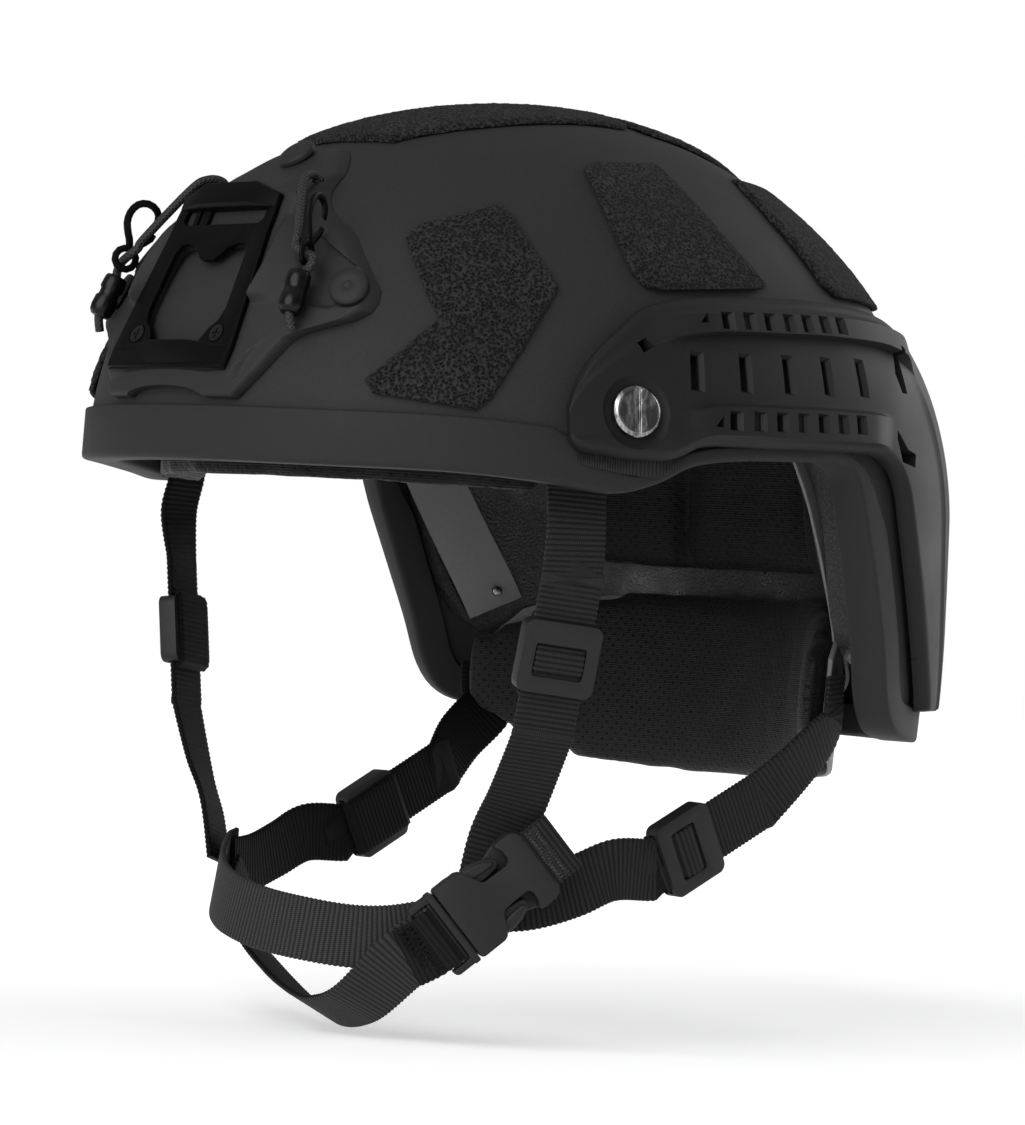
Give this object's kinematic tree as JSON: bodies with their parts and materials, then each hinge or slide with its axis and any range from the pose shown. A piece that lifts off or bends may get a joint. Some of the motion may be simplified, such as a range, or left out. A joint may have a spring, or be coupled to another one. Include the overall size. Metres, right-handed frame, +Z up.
{
  "type": "combat helmet",
  "caption": "High-cut combat helmet with device shroud, side rails, loop patches, lanyards, padded fit harness and buckled chin strap.",
  "frame": {"origin": "crown of the wearer's head, on the face of the crown pad", "axes": "-Y is the front of the helmet, +X the wearer's left, +Z up"},
  "size_m": [0.2412, 0.2662, 0.2748],
  "materials": {
    "shell_coat": "fine sand-textured matt coat",
    "trim_rubber": "matt extruded rubber",
    "liner_foam": "fine beaded foam",
    "pad_fabric": "brushed knit",
    "nape_mesh": "open spacer mesh with a piped edge",
    "shroud_polymer": "matt moulded polymer",
    "insert_polymer": "satin moulded polymer",
    "black_steel": "black oxide",
    "bare_steel": "machined",
    "rail_polymer": "matt moulded polymer",
    "loop_fabric": "loop-pile hook-and-loop fabric",
    "arm_plastic": "smooth satin strip",
    "dial_plastic": "matt moulded polymer",
    "lace_cord": "braided lace",
    "elastic_cord": "woven cover over elastic",
    "ferrule_polymer": "semi-gloss sleeve",
    "clip_polymer": "smooth moulded",
    "buckle_plastic": "satin moulded acetal",
    "webbing": "ribbed woven tape"
  },
  "bodies": {
    "helmet": {"shell": "shell_coat", "rim_trim": "trim_rubber", "impact_liner": "liner_foam", "brow_pad": "pad_fabric", "crown_pad": "pad_fabric", "left_side_pad": "pad_fabric", "right_side_pad": "pad_fabric", "rear_pad": "pad_fabric", "shroud_base": "shroud_polymer", "shroud_insert": "insert_polymer", "insert_screws": "black_steel", "shroud_bolts": "black_steel", "shroud_nuts": "bare_steel", "left_rail": "rail_polymer", "right_rail": "rail_polymer", "rail_bolts": "bare_steel", "strap_anchors": "bare_steel", "rail_nuts": "bare_steel", "rail_gaskets": "trim_rubber", "left_brow_patch": "loop_fabric", "right_brow_patch": "loop_fabric", "left_side_patch": "loop_fabric", "right_side_patch": "loop_fabric", "crown_patch": "loop_fabric", "rear_crown_patch": "loop_fabric", "left_rear_patch": "loop_fabric", "right_rear_patch": "loop_fabric", "left_fit_arm": "arm_plastic", "right_fit_arm": "arm_plastic", "fit_arm_screws": "bare_steel", "nape_cradle": "arm_plastic", "nape_pad": "nape_mesh", "dial_housing": "dial_plastic", "fit_lace": "lace_cord", "left_front_strap": "webbing", "right_front_strap": "webbing", "left_rear_strap": "webbing", "right_rear_strap": "webbing", "upper_chin_strap": "webbing", "lower_chin_strap": "webbing", "buckle_loop": "webbing", "buckle_female": "buckle_plastic", "buckle_male": "buckle_plastic", "left_bungee": "elastic_cord", "right_bungee": "elastic_cord", "left_ferrule": "ferrule_polymer", "right_ferrule": "ferrule_polymer"},
    "left_front_slider_body": {"left_front_slider": "buckle_plastic"},
    "right_front_slider_body": {"right_front_slider": "buckle_plastic"},
    "left_rear_slider_body": {"left_rear_slider": "buckle_plastic"},
    "right_rear_slider_body": {"right_rear_slider": "buckle_plastic"},
    "fit_dial_body": {"fit_dial": "dial_plastic"},
    "upper_prong_body": {"upper_prong": "buckle_plastic"},
    "lower_prong_body": {"lower_prong": "buckle_plastic"},
    "left_clip_body": {"left_clip": "clip_polymer"},
    "right_clip_body": {"right_clip": "clip_polymer"}
  },
  "joints": [
    {"name": "left_front_slide", "type": "slide", "parent": "helmet", "child": "left_front_slider_body", "axis": [-0.1772, 0, -0.9842], "range_m": [-0.01, 0.01]},
    {"name": "left_rear_slide", "type": "slide", "parent": "helmet", "child": "left_rear_slider_body", "axis": [0.0439, 0.8784, 0.4758], "range_m": [0, 0.02]},
    {"name": "right_front_slide", "type": "slide", "parent": "helmet", "child": "right_front_slider_body", "axis": [0.1772, 0, -0.9842], "range_m": [-0.01, 0.01]},
    {"name": "right_rear_slide", "type": "slide", "parent": "helmet", "child": "right_rear_slider_body", "axis": [-0.0439, 0.8784, 0.4758], "range_m": [0, 0.02]},
    {"name": "fit_dial_turn", "type": "hinge", "parent": "helmet", "child": "fit_dial_body", "pos_m": [0, 0.10467, -0.14842], "axis": [0, 0.9984, -0.0562], "continuous": true},
    {"name": "lower_prong_press", "type": "hinge", "parent": "helmet", "child": "lower_prong_body", "pos_m": [0.06272, -0.06539, -0.20974], "axis": [0.8528, -0.5222, -0.0004], "range_deg": [0, 7.5], "stiffness_Nm_per_rad": 0.4},
    {"name": "upper_prong_press", "type": "hinge", "parent": "helmet", "child": "upper_prong_body", "pos_m": [0.05911, -0.07128, -0.20196], "axis": [-0.8528, 0.5222, 0.0004], "range_deg": [0, 7.5], "stiffness_Nm_per_rad": 0.4},
    {"name": "left_clip_swing", "type": "hinge", "parent": "helmet", "child": "left_clip_body", "pos_m": [0.04138, -0.12648, -0.02433], "axis": [0.9197, 0.3925, 0], "range_deg": [0, 80]},
    {"name": "right_clip_swing", "type": "hinge", "parent": "helmet", "child": "right_clip_body", "pos_m": [-0.04138, -0.12648, -0.02433], "axis": [0.9197, -0.3925, 0], "range_deg": [0, 80]}
  ]
}
